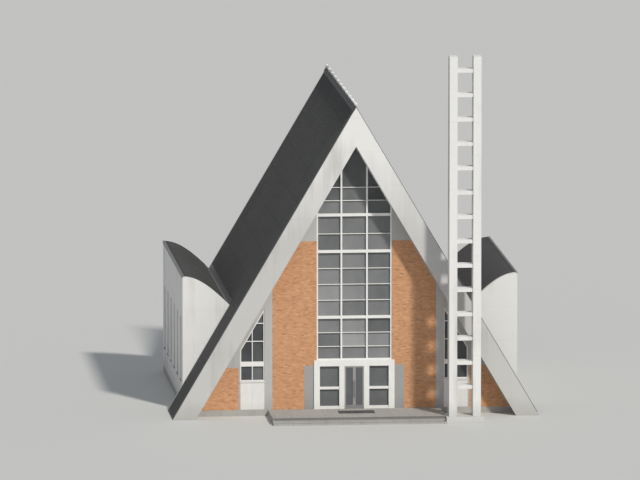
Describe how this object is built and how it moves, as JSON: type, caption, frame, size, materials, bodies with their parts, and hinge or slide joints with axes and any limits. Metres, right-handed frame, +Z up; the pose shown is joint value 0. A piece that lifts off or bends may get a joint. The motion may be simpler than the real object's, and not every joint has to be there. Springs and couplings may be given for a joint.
{
  "type": "modern church building",
  "caption": "Modern A-frame church with white gable legs, orange brick front, tall glass wall, double entrance door, curved side wings and a ladder-like bell tower.",
  "frame": {"origin": "on the underside of the floor slab, at ground level, in the middle of the nave's length and width", "axes": "+Z up, the entrance front faces -Y, +X to the right of someone facing the front"},
  "size_m": [26.353, 26.8, 26.3],
  "materials": {
    "concrete": "matte grey concrete",
    "white_render": "matte white painted render",
    "roofing": "matte dark grey roofing sheet",
    "cap_metal": "dull dark grey metal",
    "brick": "matte orange brick",
    "white_frame": "satin white paint",
    "door_metal": "satin grey aluminium",
    "window_glass": "dark clear glass"
  },
  "bodies": {
    "root": {"floor_slab": "concrete", "entrance_landing": "concrete", "rib_1_left": "concrete", "rib_1_right": "concrete", "rib_2_left": "concrete", "rib_2_right": "concrete", "valley_beam_left": "concrete", "valley_beam_right": "concrete", "bell_tower": "white_render", "rear_wall": "white_render", "front_frame_left": "white_render", "wing_cheek_left": "white_render", "wing_side_wall_left": "white_render", "rear_verge_left": "white_render", "front_wall_left": "white_render", "front_frame_right": "white_render", "wing_cheek_right": "white_render", "wing_side_wall_right": "white_render", "rear_verge_right": "white_render", "front_wall_right": "white_render", "front_roof_left": "roofing", "main_roof_left": "roofing", "wing_roof_left": "roofing", "front_roof_right": "roofing", "main_roof_right": "roofing", "wing_roof_right": "roofing", "ridge_cap": "cap_metal", "brick_panel_left": "brick", "brick_base_left": "brick", "brick_panel_right": "brick", "brick_base_right": "brick", "glass_wall_frame": "white_frame", "door_portal": "white_frame", "side_window_frame_left": "white_frame", "side_window_frame_right": "white_frame", "rear_glass": "window_glass", "glass_wall_glass": "window_glass", "wing_side_glass_left": "window_glass", "side_window_glass_left": "window_glass", "sidelight_glass_left": "window_glass", "wing_side_glass_right": "window_glass", "side_window_glass_right": "window_glass", "sidelight_glass_right": "window_glass"},
    "door_left": {"door_leaf_left": "door_metal", "door_glass_left": "window_glass"},
    "door_right": {"door_leaf_right": "door_metal", "door_glass_right": "window_glass"}
  },
  "joints": [
    {"name": "door_left_hinge", "type": "hinge", "parent": "root", "child": "door_left", "pos_m": [-0.6975, -10.414, 2], "axis": [0, 0, -1], "range_deg": [0, 90]},
    {"name": "door_right_hinge", "type": "hinge", "parent": "root", "child": "door_right", "pos_m": [0.6975, -10.414, 2], "axis": [0, 0, 1], "range_deg": [0, 90]}
  ]
}
